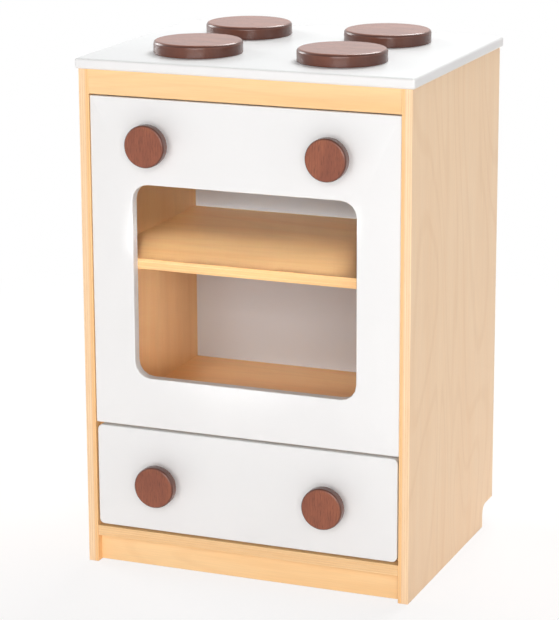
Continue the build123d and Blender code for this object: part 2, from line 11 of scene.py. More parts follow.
import bpy
import numpy as np
from mathutils import Matrix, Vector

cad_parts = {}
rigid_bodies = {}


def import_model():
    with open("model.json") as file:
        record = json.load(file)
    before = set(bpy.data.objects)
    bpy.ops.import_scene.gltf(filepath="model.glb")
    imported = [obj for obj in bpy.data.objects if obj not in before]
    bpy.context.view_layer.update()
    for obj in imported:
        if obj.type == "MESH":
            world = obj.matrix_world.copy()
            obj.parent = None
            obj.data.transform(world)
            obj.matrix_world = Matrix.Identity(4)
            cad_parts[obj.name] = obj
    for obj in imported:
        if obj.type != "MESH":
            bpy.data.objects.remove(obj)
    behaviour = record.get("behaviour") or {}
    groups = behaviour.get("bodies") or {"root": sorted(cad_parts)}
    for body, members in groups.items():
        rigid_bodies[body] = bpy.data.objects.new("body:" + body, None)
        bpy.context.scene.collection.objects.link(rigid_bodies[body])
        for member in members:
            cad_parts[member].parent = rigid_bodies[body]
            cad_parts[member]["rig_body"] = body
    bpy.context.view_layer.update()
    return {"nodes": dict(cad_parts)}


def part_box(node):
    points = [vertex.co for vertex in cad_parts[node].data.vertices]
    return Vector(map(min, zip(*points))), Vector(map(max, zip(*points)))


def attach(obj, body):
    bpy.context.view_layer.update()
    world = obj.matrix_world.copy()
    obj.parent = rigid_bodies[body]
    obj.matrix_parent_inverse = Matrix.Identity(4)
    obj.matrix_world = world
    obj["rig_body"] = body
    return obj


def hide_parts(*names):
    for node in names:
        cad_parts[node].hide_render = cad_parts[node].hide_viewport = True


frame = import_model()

MM = 0.001
print("pieces in the model:", len(frame["nodes"]))

# %% [markdown]
# ## The camera
# The stove is seen from its right, a little from above, with a long lens that keeps its upright
# edges nearly parallel.  A camera is easiest to place by the point that it looks at and the point
# where it stands.  The roll is the small tilt of a hand-levelled tripod, and the standard view
# shows each colour as it is written.

# %% Camera
camera_place = np.array((1.0823, -2.7269, 1.0647))
camera_aim = np.array((-0.0152, 0.0, 0.3302))
camera_roll = math.radians(-0.21)
lens_mm = 146.75
lens_shift = -0.05            # share of the frame's height


def stand_facing(name, data, place, aim, roll):
    """A camera or lamp at a place: its back is away from the aim, its right is level, then it rolls."""
    back = (place - aim) / np.linalg.norm(place - aim)
    level = np.cross((0, 0, 1), back)
    level /= np.linalg.norm(level)
    right = math.cos(roll) * level + math.sin(roll) * np.cross(back, level)
    pose = np.eye(4)
    pose[:3] = np.stack((right, np.cross(back, right), back, place), axis=1)
    thing = bpy.data.objects.new(name, data)
    thing.matrix_world = Matrix(pose.tolist())
    bpy.context.scene.collection.objects.link(thing)
    return thing


camera_data = bpy.data.cameras.new("camera")
camera_data.lens = lens_mm
camera_data.shift_y = lens_shift
bpy.context.scene.camera = stand_facing("camera", camera_data, camera_place, camera_aim, camera_roll)
bpy.context.scene.view_settings.view_transform = "Standard"
print("camera distance:", round(float(np.linalg.norm(camera_place - camera_aim)), 2), "m")

# %% [markdown]
# ## Colours and nodes
# A finish is a small network of shader nodes.  Colours are written as the hex values that a paint
# card would give and turned to the linear light that the renderer works in.  One function adds a
# node, sets its own properties, and fills or links its sockets.  Two short ones use it for what
# comes up most: a step of arithmetic, and a ramp from one value to another.

# %% Colour and node helpers


def linear(hex_colour):
    """sRGB hex to linear RGBA: c / 12.92 below 0.04045, else ((c + 0.055) / 1.055) to the 2.4."""
    srgb = np.array([int(hex_colour[i:i + 2], 16) for i in (1, 3, 5)]) / 255
    rgb = np.where(srgb <= 0.04045, srgb / 12.92, ((srgb + 0.055) / 1.055) ** 2.4)
    return (*rgb.tolist(), 1.0)


def add_node(tree, kind, sockets=None, **settings):
    """Adds one node and returns its first output.

    settings are the node's own properties.  sockets names its inputs: a socket given another
    node's output is linked, and any other value is set.  A named input is the one of that name
    which the settings leave in use.
    """
    node = tree.nodes.new("ShaderNode" + kind)
    for name, value in settings.items():
        setattr(node, name, value)
    for name, value in (sockets or {}).items():
        used = [socket for socket in node.inputs if socket.name == name and socket.enabled]
        socket = used[0] if used else node.inputs[name]
        if isinstance(value, bpy.types.NodeSocket):
            tree.links.new(value, socket)
        else:
            socket.default_value = value
    outputs = [socket for socket in node.outputs if socket.enabled]
    return outputs[0] if outputs else None


def calculate(tree, operation, *values):
    """One step of arithmetic on up to three values, each a number or a socket."""
    return add_node(tree, "Math", dict(enumerate(values)), operation=operation)


def ramp(tree, value, start=0.0, end=1.0, first=0.0, last=1.0):
    """Goes from first to last while a value goes from start to end, and stays level beyond them."""
    return add_node(tree, "MapRange", {"Value": value, "From Min": start, "From Max": end,
                                       "To Min": first, "To Max": last})


def new_material(name):
    """A material and its empty node tree."""
    material = bpy.data.materials.new(name)
    material.use_nodes = True
    material.node_tree.nodes.clear()
    return material, material.node_tree


print("mid grey in linear light:", round(linear("#808080")[0], 3))

# %% [markdown]
# ## Floor, backdrop and lamps
# The stove stands in a white studio: a white floor that runs out to a white surround.  The main
# lamp stands low in front, and weaker ones light both sides, the top and the back.  An oven is a
# deep box with a small window, and little of that light gets in, so small strips behind honeycomb
# grids reach its shelf, its left wall and its floor through the window.  The surround is white
# where it is seen or mirrored, and gives less light than that, so the floor still darkens a little
# under the stove.

# %% Studio
studio_fill = 0.22            # light from the surround
zenith_share = 0.65           # the ceiling is dimmer than the walls
ceiling_start = 0.3           # height of a view where the ceiling starts
floor_white = 0.8             # share of plain white in the floor near the stove
floor_near, floor_far = 0.5, 1.4      # metres over which it turns plain white
floor_half = 6.0

world = bpy.data.worlds.new("studio")
bpy.context.scene.world = world
world.use_nodes = True
world.node_tree.nodes.clear()


def seen_or_mirrored(tree):
    """1 for camera, glossy and transmission rays, 0 for the rays that light other surfaces."""
    path = add_node(tree, "LightPath").node.outputs
    mirrored = calculate(tree, "MAXIMUM", path["Is Glossy Ray"], path["Is Transmission Ray"])
    return calculate(tree, "MAXIMUM", path["Is Camera Ray"], mirrored)


tree = world.node_tree
direction = add_node(tree, "TexCoord").node.outputs["Generated"]
height = add_node(tree, "SeparateXYZ", {0: direction}).node.outputs["Z"]
ceiling = ramp(tree, height, ceiling_start, 1.0, 1.0, zenith_share)
level = ramp(tree, seen_or_mirrored(tree), first=studio_fill)
strength = calculate(tree, "MULTIPLY", ceiling, level)
surround = add_node(tree, "Background", {"Color": (1, 1, 1, 1), "Strength": strength})
add_node(tree, "OutputWorld", {"Surface": surround})

floor_mesh = bpy.data.meshes.new("studio_floor")
floor_corners = [(x * floor_half, y * floor_half, 0) for x, y in ((-1, -1), (1, -1), (1, 1), (-1, 1))]
floor_mesh.from_pydata(floor_corners, [], [(0, 1, 2, 3)])
floor = bpy.data.objects.new("studio_floor", floor_mesh)
bpy.context.scene.collection.objects.link(floor)

# Seamless studio paper: matt, faintly warm where it lies in shadow.
floor_paper, tree = new_material("white_studio_paper")
spot = add_node(tree, "TexCoord").node.outputs["Object"]
distance = add_node(tree, "VectorMath", {0: spot}, operation="LENGTH")
runout = ramp(tree, distance, floor_near, floor_far, floor_white)
plain = calculate(tree, "MULTIPLY", seen_or_mirrored(tree), runout)
paper = add_node(tree, "BsdfDiffuse", {"Color": linear("#F6EEEC")})
white = add_node(tree, "Emission", {"Color": (1, 1, 1, 1), "Strength": 1.0})
paper_or_white = add_node(tree, "MixShader", {0: plain, 1: paper, 2: white})
add_node(tree, "OutputMaterial", {"Surface": paper_or_white})
floor_mesh.materials.append(floor_paper)


def softbox(name, azimuth, elevation, distance, size, watts, aim=(0, 0, 0.32), spread=180, roll=0):
    """An area lamp that faces a point of the stove, placed by two angles in degrees.

    Azimuth 0 is straight in front of the stove, and grows towards its right.  size is its width
    and height.  A honeycomb grid in front of the lamp narrows its spread, and roll turns the lamp
    about its own beam.
    """
    turn, lift, roll = np.radians((azimuth, elevation, roll))
    outward = np.array((math.sin(turn) * math.cos(lift), -math.cos(turn) * math.cos(lift), math.sin(lift)))
    lamp = bpy.data.lights.new(name, "AREA")
    lamp.shape = "RECTANGLE"
    lamp.size, lamp.size_y = size
    lamp.spread = math.radians(spread)
    lamp.energy = watts
    stand_facing(name, lamp, aim + distance * outward, np.array(aim), roll)


# Azimuth, elevation, distance, size and watts of each lamp, and aim, spread and roll of a strip.
softbox("key_softbox", 15, 14, 4.0, (2.8, 2.2), 112)
softbox("left_softbox", -105, 22, 2.8, (1.3, 1.3), 40)
softbox("right_softbox", 75, 16, 3.0, (1.6, 1.6), 8)
softbox("rear_top_softbox", 172, 52, 2.6, (1.3, 1.3), 57)
# The shelf's strips roll so that the border of their light runs along its front edge.
softbox("shelf_front_strip", 22, 38, 1.0, (0.25, 0.05), 0.029, (-0.002, -0.15, 0.42), 2, -14)
softbox("shelf_middle_strip", 22, 25, 1.0, (0.25, 0.05), 0.033, (-0.002, -0.15, 0.424), 2, -10)
softbox("shelf_back_strip", 14, 14, 1.0, (0.24, 0.045), 0.021, (-0.002, -0.15, 0.428), 2, -3.5)
softbox("wall_strip", 50, 8, 1.2, (0.05, 0.12), 0.0165, (0.0, -0.15, 0.3), 6)
softbox("floor_strip", 8, 24, 1.0, (0.22, 0.03), 0.0105, (-0.01, -0.15, 0.285), 3)

# %% [markdown]
# ## From outlines to meshes
# Almost every piece here is either a board, whose outline is carried through its thickness and
# eased at both faces, or a turned piece, whose profile is carried round an axis.  Both start from
# the same thing: a polygon whose corners are rounded by arcs.  The arcs also give the exact
# direction of the surface at every point, which the mesh keeps, so flat faces stay flat in the
# light right up to a rounded edge.

# %% Rounded outlines


def rounded(corners, closed, steps):
    """Rounds each corner (x, y, radius) of a polygon that runs anticlockwise round its material.

    With edge normals n0 and n1 and signed radius s (negative at an inner corner), the arc's centre
    is p - s (n0 + n1) / (1 + n0.n1), and a point of the arc is centre + s n, as n turns from n0 to
    n1.  Returns the points and their outward normals, steps + 1 of them to a corner.
    """
    corners = np.array(corners, float)
    spots, radii = corners[:, :2], corners[:, 2]
    edges = np.roll(spots, -1, axis=0) - spots
    edges /= np.maximum(np.linalg.norm(edges, axis=1, keepdims=True), 1e-9)
    after = np.stack((edges[:, 1], -edges[:, 0]), axis=1)
    before = np.roll(after, 1, axis=0)
    if not closed:
        before[0], after[-1] = after[0], before[-1]
    cross = before[:, 0] * after[:, 1] - before[:, 1] * after[:, 0]
    turn = np.arctan2(cross, (before * after).sum(1))
    signed = radii * np.sign(turn)
    centres = spots - (signed / (1 + np.cos(turn)))[:, None] * (before + after)
    angles = turn[:, None] * np.linspace(0, 1, steps + 1)
    cos, sin = np.cos(angles), np.sin(angles)
    normals = np.stack((before[:, :1] * cos - before[:, 1:] * sin,
                        before[:, :1] * sin + before[:, 1:] * cos), axis=2)
    points = centres[:, None] + signed[:, None, None] * normals
    points, normals = points.reshape(-1, 2), normals.reshape(-1, 2)
    if closed:
        return points, normals
    return points[steps:-steps], normals[steps:-steps]


def rectangle(low, high, radius):
    """The four corners (x, y, radius) of a rectangle, anticlockwise."""
    return [(low[0], low[1], radius), (high[0], low[1], radius),
            (high[0], high[1], radius), (low[0], high[1], radius)]


# %% Meshes from arrays
sharp_from = math.radians(35)
forest_step = 1000.0          # mm of solid texture from one node's wood to the next


def ring_faces(rings, count, first=0):
    """Quads between neighbouring rings of count points each, closed round the ring."""
    row, column = np.meshgrid(np.arange(rings - 1), np.arange(count), indexing="ij")
    along, around = row.ravel() * count, column.ravel()
    onward = (around + 1) % count
    quads = np.stack((along + around, along + onward, along + count + onward, along + count + around), 1)
    return (quads + first).tolist()


def faces_agree(mesh, normals):
    """False for each face whose own normal, (b - a) x (c - a), is against its first point's normal."""
    loops = np.empty(len(mesh.loops), np.int32)
    mesh.loops.foreach_get("vertex_index", loops)
    starts = np.empty(len(mesh.polygons), np.int32)
    mesh.polygons.foreach_get("loop_start", starts)
    face_normals = np.empty(len(mesh.polygons) * 3, np.float32)
    mesh.polygons.foreach_get("normal", face_normals)
    return (face_normals.reshape(-1, 3) * normals[loops[starts]]).sum(1) >= 0


def make_mesh(name, points, faces, attributes, normals=None):
    """A mesh from arrays in millimetres, with named vectors on its points.

    It keeps the exact normals of its points where it is given them, and its faces are turned to
    suit.  Without them, its faces already face outwards, and its steep edges are sharp.
    """
    mesh = bpy.data.meshes.new(name)
    mesh.from_pydata((points * MM).tolist(), [], faces)
    outward = [True] if normals is None else faces_agree(mesh, normals)
    if not all(outward):
        faces = [face if right else face[::-1] for face, right in zip(faces, outward)]
        mesh.clear_geometry()
        mesh.from_pydata((points * MM).tolist(), [], faces)
    for attribute, values in attributes.items():
        layer = mesh.attributes.new(attribute, "FLOAT_VECTOR", "POINT")
        layer.data.foreach_set("vector", np.ascontiguousarray(values, np.float32).ravel())
    mesh.polygons.foreach_set("use_smooth", np.ones(len(mesh.polygons), bool))
    if normals is None:
        mesh.set_sharp_from_angle(angle=sharp_from)
    else:
        mesh.normals_split_custom_set_from_vertices(normals.tolist())
    mesh.update()
    return mesh


def put_in_place(mesh, material, node):
    """Makes a mesh the visible piece that stands for one node of the model."""
    piece = bpy.data.objects.new(mesh.name, mesh)
    mesh.materials.append(material)
    bpy.context.scene.collection.objects.link(piece)
    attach(piece, frame["nodes"][node]["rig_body"])
    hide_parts(node)


def box_mm(node):
    """Lowest and highest corner of a node of the model, in millimetres."""
    low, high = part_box(node)
    return np.array(low) / MM, np.array(high) / MM


def own_stretch(node):
    """Where a node's wood lies in the forest of solid textures, so that no two boards are alike."""
    step = forest_step * sorted(frame["nodes"]).index(node)
    return step, step, 0.0


def count_pieces(*endings):
    """How many objects so far have a name with one of these endings."""
    return sum(o.name.endswith(endings) for o in bpy.data.objects)


X, Y, Z = np.eye(3)
print("outline test:", rounded(rectangle((0, 0), (10, 5), 1), True, 4)[0].shape)

# %% [markdown]
# ## Boards
# A board is its outline, carried from one face to the other.  Sandpaper takes the sharp edge off
# both faces, so the outline pulls in along a quarter circle at each end of its travel.  The oven
# front has a second outline, its window, and the surface runs out over one and back through the
# other.  Each board also keeps its own measure of the wood: how far along the grain, how far
# across it, and how deep, in layers of veneer, or in millimetres where the board is solid wood.

# %% Boards from outlines
arris_steps = 4
corner_share = 1.3            # a corner's radius is this much more than the board's ease
skin = 0.02                   # in layers: a face lies this far inside its outer veneer


def carried_outline(outline, normals, low, high, ease):
    """Rings (ring, point, 3) of an outline carried from high to low, and their normals.

    At an angle phi, from 90 degrees on the upper face to -90 on the lower one, a ring lies
    ease (1 - cos phi) inside the outline, and ease sin phi past the start of its arris.
    """
    quarter = np.linspace(90, 0, arris_steps + 1)
    phi = np.radians(np.concatenate((quarter, -quarter[::-1])))[:, None]
    start = np.repeat((high - ease, low + ease), arris_steps + 1)[:, None]
    inset = ease * (1 - np.cos(phi))
    flat = outline[None] - inset[..., None] * normals[None]
    depth = np.broadcast_to(start + ease * np.sin(phi), flat.shape[:2])
    side = np.cos(phi)[..., None] * normals[None]
    lift = np.broadcast_to(np.sin(phi), flat.shape[:2])
    return np.dstack((flat, depth)), np.dstack((side, lift))


def eased_board(outline, low, high, ease, hole=None):
    """Points, normals and faces of a board, in its own axes: two in its plane, one through it."""
    points, normals = carried_outline(*rounded(outline, True, arris_steps), low, high, ease)
    rings, count = points.shape[:2]
    if hole is None:
        faces = ring_faces(rings, count)
        faces += [list(range(count)), list(range((rings - 1) * count, rings * count))]
        return points.reshape(-1, 3), normals.reshape(-1, 3), faces
    rim, inward = rounded(hole, True, arris_steps)
    hole_points, hole_normals = carried_outline(rim, -inward, low, high, ease)
    points = np.concatenate((points, hole_points[::-1], points[:1]))
    normals = np.concatenate((normals, hole_normals[::-1], normals[:1]))
    last = 2 * rings * count
    faces = [[i % last for i in face] for face in ring_faces(2 * rings + 1, count)]
    return points[:-1].reshape(-1, 3), normals[:-1].reshape(-1, 3), faces


def board(node, material, grain, across, through, outline=None, hole=None, ease=0.6, radius=None, plies=9):
    """Makes one node of the model as an eased board, along its grain, across it and through it.

    The outline, in millimetres, is the node's box unless one is given.  Its corners are rounder
    than the board is eased unless a radius says otherwise, so that no points fall together on a
    face.  Without plies the board is solid wood.
    """
    low, high = box_mm(node)
    axes = np.array((grain, across, through))
    near, far = np.minimum(axes @ low, axes @ high), np.maximum(axes @ low, axes @ high)
    outline = outline or rectangle(near[:2], far[:2], radius or corner_share * ease)
    points, normals, faces = eased_board(outline, near[2], far[2], ease, hole)
    measure = points - near + own_stretch(node)
    if plies:
        measure[:, 2] = skin + measure[:, 2] / (far[2] - near[2]) * (plies - 2 * skin)
    attributes = {"board": measure, "facing": np.abs(normals)}
    mesh = make_mesh(node + "_board", points @ axes, faces, attributes, normals @ axes)
    put_in_place(mesh, material, node)


# %% [markdown]
# ## Birch plywood
# The cabinet is nine-layer birch plywood under a clear satin lacquer.  Its face veneer is peeled
# off a turning log, so the figure is broad and quiet: soft bands, and wandering lines like the
# contours of a map.  On its edges the layers show, every other one cut across its fibres, which
# makes it darker.  One solid texture does both: it is stretched along the grain of the layer that
# a point lies in, so a face shows streaks and a cut end shows dots by itself.  The rails are
# golden.  The shelf and the oven floor are a warmer, more orange tan, painted warm light of the
# oven's inside.  The sides are paler outside, a painted sheen of the white studio, and warmer on
# their inner faces, painted warm shade of the oven's inside.

# %% Birch plywood material
veneer = 1.39                 # mm
# The layers at the inner face take warmer, darker tones: painted shade of the oven's inside.
painted_shade_layers = 3.0            # layers with the tones of the inner face
layer_jump = 53.0             # mm of solid texture from one layer to the next
fibre_length, fibre_width = 40.0, 1.2
band_length, band_width = 320.0, 30.0
contour_length, contour_width, contours = 520.0, 110.0, 9.0
soft, firm = (0.3, 0.7), (0.35, 0.65)     # how much of a noise's range counts
birch_line, line_share = "#DDAE78", 0.14
birch_end, end_grain_share = "#DBAC80", 0.28
glue_brown, glue_share = "#B4835A", 0.45
glue_core, glue_rim = 0.03, 0.1           # in layers, from the middle of the glue


def read_attribute(tree, name):
    """The three parts of a vector that the mesh carries under this name."""
    vector = add_node(tree, "Attribute", attribute_name=name).node.outputs["Vector"]
    return add_node(tree, "SeparateXYZ", {0: vector}).node.outputs


def stretched_noise(tree, place, length, width, **sockets):
    """Noise whose spots are this long along the grain and this wide across it, in millimetres."""
    scaled = add_node(tree, "VectorMath", {0: place, 1: (1 / length, 1 / width, 1 / width)},
                      operation="MULTIPLY")
    return add_node(tree, "TexNoise", {"Vector": scaled, "Scale": 1.0, **sockets})


def in_millimetres(tree):
    """Object coordinates in millimetres."""
    place = add_node(tree, "TexCoord").node.outputs["Object"]
    return add_node(tree, "VectorMath", {0: place, "Scale": 1 / MM}, operation="SCALE")


def finish_surface(tree, sockets):
    """Ends a material in one Principled surface."""
    add_node(tree, "OutputMaterial", {"Surface": add_node(tree, "BsdfPrincipled", sockets)})


def tone(tree, share, first, second):
    """A colour this share of the way from the first to the second, given as hex or as a socket."""
    first, second = (linear(c) if isinstance(c, str) else c for c in (first, second))
    return add_node(tree, "Mix", {"Factor": share, "A": first, "B": second}, data_type="RGBA")


def into_layers(tree):
    """The place in the wood's own axes, along the grain of its layer, and 1 where it runs across."""
    board_x, board_y, board_depth = read_attribute(tree, "board")
    layer = calculate(tree, "FLOOR", board_depth)
    crossed = calculate(tree, "MODULO", layer, 2.0)
    reshuffled = calculate(tree, "MULTIPLY", layer, layer_jump)
    depth_mm = calculate(tree, "MULTIPLY_ADD", board_depth, veneer, reshuffled)
    face_way = add_node(tree, "CombineXYZ", {"X": board_x, "Y": board_y, "Z": depth_mm})
    cross_way = add_node(tree, "CombineXYZ", {"X": board_y, "Y": board_x, "Z": depth_mm})
    wood = add_node(tree, "Mix", {"Factor": crossed, "A": face_way, "B": cross_way}, data_type="VECTOR")
    return wood, crossed, board_depth


def veneer_figure(tree, wood, light, deep):
    """The colour of peeled birch: broad bands, and faint lines where a wandering height repeats."""
    bands = stretched_noise(tree, wood, band_length, band_width, Detail=3.0, Roughness=0.55)
    heights = stretched_noise(tree, wood, contour_length, contour_width, Detail=1.0, Distortion=0.4)
    wave = calculate(tree, "SINE", calculate(tree, "MULTIPLY", heights, contours * math.tau))
    lines = ramp(tree, wave, start=0.5, last=line_share)
    return tone(tree, lines, tone(tree, ramp(tree, bands, *soft), light, deep), birch_line)


def layered_edge(tree, face_colour, crossed, board_depth):
    """Darkens the layers cut across their fibres, and draws the glue between the layers."""
    facing_x, facing_y, facing_depth = read_attribute(tree, "facing")
    facing_end = add_node(tree, "Mix", {"Factor": crossed, "A": facing_x, "B": facing_y})
    end_tint = calculate(tree, "MULTIPLY", facing_end, end_grain_share)
    to_glue = calculate(tree, "PINGPONG", board_depth, 0.5)
    glue = ramp(tree, to_glue, glue_core, glue_rim, glue_share, 0.0)
    glue = calculate(tree, "MULTIPLY", glue, calculate(tree, "SUBTRACT", 1.0, facing_depth))
    return tone(tree, glue, tone(tree, end_tint, face_colour, birch_end), glue_brown)


def birch_plywood(name, light, deep, painted_shade_light_tone=None, painted_shade_deep_tone=None):
    """Lacquered birch plywood between two tones: the layers at its inner face may have two of their own,
    warmer and darker, a painted shade.
    """
    material, tree = new_material(name)
    wood, crossed, board_depth = into_layers(tree)
    inner = calculate(tree, "LESS_THAN", board_depth, painted_shade_layers)
    light = tone(tree, inner, light, painted_shade_light_tone or light)
    deep = tone(tree, inner, deep, painted_shade_deep_tone or deep)
    cut = layered_edge(tree, veneer_figure(tree, wood, light, deep), crossed, board_depth)
    fibres = stretched_noise(tree, wood, fibre_length, fibre_width, Detail=3.0)
    streak = ramp(tree, fibres, *soft, 0.965, 1.025)
    colour = add_node(tree, "VectorMath", {0: cut, 1: streak}, operation="MULTIPLY")
    raised = add_node(tree, "Bump", {"Height": fibres, "Strength": 0.35, "Distance": 0.05 * MM})
    finish_surface(tree, {"Base Color": colour, "Roughness": ramp(tree, fibres, first=0.42, last=0.56),
                          "IOR": 1.5, "Specular IOR Level": 0.35, "Normal": raised,
                          "Coat Weight": 0.22, "Coat Roughness": 0.28, "Coat IOR": 1.5})
    return material


golden_birch = birch_plywood("birch_plywood_golden_veneer", "#F6D19D", "#F0C48B")
# The shelf's and oven floor's warmer, brighter tan is painted warm light of the oven's inside.
oven_birch_painted_warm_light = birch_plywood("birch_plywood_tan_veneer", "#FCCF94", "#FAC384")
# The sides' pale outer tones are a painted sheen of the white studio, and their inner-face tones are painted
# warm shade.
side_birch_painted_sheen_and_shade = birch_plywood("birch_plywood_pale_veneer", "#FBDCB5", "#F7D4AA", "#FBCF95", "#F7C589")
print("plywood materials:", golden_birch.name, oven_birch_painted_warm_light.name, side_birch_painted_sheen_and_shade.name)

# %% [markdown]
# ## The plywood boards
# The side panels stand with their grain upright, and the bottom, the oven floor, the shelf and
# the rails carry theirs across.  The sides have a notch at the foot, which lets the stove stand
# against a wall over its skirting board.  The bottom panel reaches the front edges of the sides,
# so its front corners are cut back to fit between them.

# %% Plywood boards
notch_depth, notch_height, notch_radius = 40.0, 28.0, 11.0
housing_start = 14.1          # the bottom panel is let into the sides from here back
arris, corner = 0.7, 0.9

for node in ("left_side", "right_side"):
    (_, front, foot), (_, rear, head) = box_mm(node)
    side_outline = [(foot, front, corner), (head, front, corner), (head, rear, corner),
                    (notch_height, rear, corner), (notch_height, rear - notch_depth, notch_radius),
                    (foot, rear - notch_depth, corner)]
    board(node, side_birch_painted_sheen_and_shade, Z, Y, -X if node == "left_side" else X, outline=side_outline, ease=arris)

clear_half = -box_mm("left_side")[1][0]
(_, front, _), (tongue, rear, _) = box_mm("bottom_panel")
step = front + housing_start
right_half = [(clear_half, front), (clear_half, step), (tongue, step), (tongue, rear)]
bottom_outline = [(x, y, corner) for x, y in right_half] + [(-x, y, corner) for x, y in right_half[::-1]]
board("bottom_panel", golden_birch, X, Y, Z, outline=bottom_outline, ease=0.3)
# The shelf and the oven floor take the tan of painted warm light.
for node in ("oven_floor", "oven_shelf"):
    board(node, oven_birch_painted_warm_light, X, Y, Z, ease=arris)
for node in ("top_rail", "rear_rail", "toe_board"):
    board(node, golden_birch, X, Z, -Y, ease=0.3)
for node in ("lower_cleat_left", "lower_cleat_right", "upper_cleat_left", "upper_cleat_right"):
    board(node, golden_birch, Z, X, Y, ease=0.5, plies=11)

for node in ("drawer_side_left", "drawer_side_right"):
    board(node, golden_birch, Y, Z, X, ease=0.8, plies=7)
for node in ("drawer_inner_front", "drawer_back"):
    board(node, golden_birch, X, Z, -Y, ease=0.5, plies=7)
board("drawer_bottom", golden_birch, X, Y, Z, ease=0.2, plies=3)
print("birch boards:", count_pieces("_board"))

# %% [markdown]
# ## White and grey paint
# The cooktop, the oven front and the drawer front are board sprayed with a white satin lacquer.
# A sprayed film settles into orange peel: shallow waves a few millimetres apart, which only show
# in a reflection.  On an arris the film is thinner, and a trace of the warm board comes through.
# The panel at the back is thin board rolled with a pale grey, whose stipple is finer.

# %% Painted board materials
cloud_mm = 160.0
gloss_drift = 0.04


def painted_board(name, light, deep, arris_colour, wave_mm, wave_height_mm, roughness):
    """A satin paint film on board: faint clouds in its colour, and waves of one width and height."""
    material, tree = new_material(name)
    place = in_millimetres(tree)
    clouds = stretched_noise(tree, place, cloud_mm, cloud_mm, Detail=2.0)
    film = tone(tree, ramp(tree, clouds, *soft), light, deep)
    on_arris = calculate(tree, "PINGPONG", read_attribute(tree, "facing")[2], 0.5)
    colour = tone(tree, calculate(tree, "MULTIPLY", on_arris, 0.5), film, arris_colour)
    gloss = ramp(tree, clouds, first=roughness - gloss_drift, last=roughness + gloss_drift)
    peel = stretched_noise(tree, place, wave_mm, wave_mm, Detail=1.5)
    raised = add_node(tree, "Bump", {"Height": peel, "Strength": 0.4, "Distance": wave_height_mm * MM})
    finish_surface(tree, {"Base Color": colour, "Roughness": gloss, "IOR": 1.5, "Normal": raised})
    return material


white_paint = painted_board("white_satin_sprayed_board", "#E9EAEA", "#E6E7E7", "#E2DFD9", 3.5, 0.02, 0.34)
grey_paint = painted_board("grey_rolled_board", "#D9DCE1", "#D4D7DC", "#B1B0AE", 1.6, 0.03, 0.45)
print("paints:", white_paint.name, grey_paint.name)

# %% Painted boards
top_round = 3.0
window_sill, window_head, window_stile, window_radius = 60.0, 100.5, 52.0, 19.0
front_ease, drawer_ease, drawer_corner = 1.2, 1.6, 6.5

board("top_panel", white_paint, X, Y, Z, ease=top_round, radius=top_round)
low, high = box_mm("oven_front")
window = rectangle(low[[0, 2]] + (window_stile, window_sill), high[[0, 2]] - (window_stile, window_head),
                   window_radius)
board("oven_front", white_paint, X, Z, -Y, hole=window, ease=front_ease, radius=front_ease)
board("drawer_front", white_paint, X, Z, -Y, ease=drawer_ease, radius=drawer_corner)
board("back_panel", grey_paint, X, Z, -Y, ease=0.5)
print("boards so far:", count_pieces("_board"))

# %% [markdown]
# ## Turned pieces
# Burners and knobs come off a lathe, so each is a profile carried round an axis.  The profile is
# an open polygon from the axis out and back to it, with its corners rounded.  The wood doesn't
# turn with the profile: the disc was sawn from a plank, so its measure of the grain is kept in
# straight lines, and the fibres end on two opposite stretches of the rim.

# %% Turned pieces


def round_axis(angle, radius, height, closed=False):
    """Points (r cos a, r sin a, h) of rings round an axis, and the faces between them.

    radius and height have a row for each ring, and the rings rise along the outside.  A closed row
    of rings joins its last one to its first, and an open one gets a point on the axis at each end.
    """
    radius, height = np.broadcast_arrays(radius, height, np.empty((1, len(angle))))[:2]
    points = np.dstack((radius * np.cos(angle), radius * np.sin(angle), height)).reshape(-1, 3)
    rings, count = radius.shape
    size = rings * count
    if closed:
        return points, [[i % size for i in face] for face in ring_faces(rings + 1, count)]
    ends = [(0, 0, height[0].mean()), (0, 0, height[-1].mean())]
    faces = ring_faces(rings, count)
    faces += [[size, (i + 1) % count, i] for i in range(count)]
    faces += [[size + 1, size - count + i, size - count + (i + 1) % count] for i in range(count)]
    return np.concatenate((points, ends)), faces


def from_rings(angle, rings, closed=False):
    """Points and faces of rings, each a radius and a height, and each a number or one per angle."""
    radius, height = (np.array([ring[part] + 0 * angle for ring in rings]) for part in (0, 1))
    return round_axis(angle, radius, height, closed)


def even_angles(count):
    """Evenly spaced angles of one turn."""
    return np.linspace(0, math.tau, count, endpoint=False)


def lathe_work(node, suffix, material, profile, centre, out, grain, segments, steps):
    """A turned piece of solid wood that stands for one node: its axis points out from centre.

    The profile's corners are (radius, height, corner radius), from the axis out and back to it,
    and the normal of a turned point is (n cos a, n sin a, m), where (n, m) is the profile's.
    """
    outline, side = rounded(profile, False, steps)
    angle = even_angles(segments)
    points, faces = round_axis(angle, outline[1:-1, :1], outline[1:-1, 1:])
    normals, _ = round_axis(angle, side[1:-1, :1], side[1:-1, 1:])
    normals[-2:] = (0, 0, -1), (0, 0, 1)
    axes = np.array((grain, np.cross(out, grain), out))
    attributes = {"wood": points + own_stretch(node), "facing": np.abs(normals)}
    mesh = make_mesh(f"{node}_{suffix}", centre + points @ axes, faces, attributes, normals @ axes)
    put_in_place(mesh, material, node)


print("quarters of a turn:", even_angles(4).round(2))

# %% [markdown]
# ## Stained hardwood
# Knobs and burners are turned hardwood, stained red-brown and lacquered.  Stain sinks deepest
# where the fibres are cut across, so the rim is darker on two sides of the disc, and it gathers
# in the pores and in the soft part of each year's growth.  The whole rim is darker too, and the
# round-over is darkest of all, a painted dark reflection.  The lacquer over the stain is glossy
# enough to mirror the white studio at a shallow angle: from low down, the burners look almost pink.

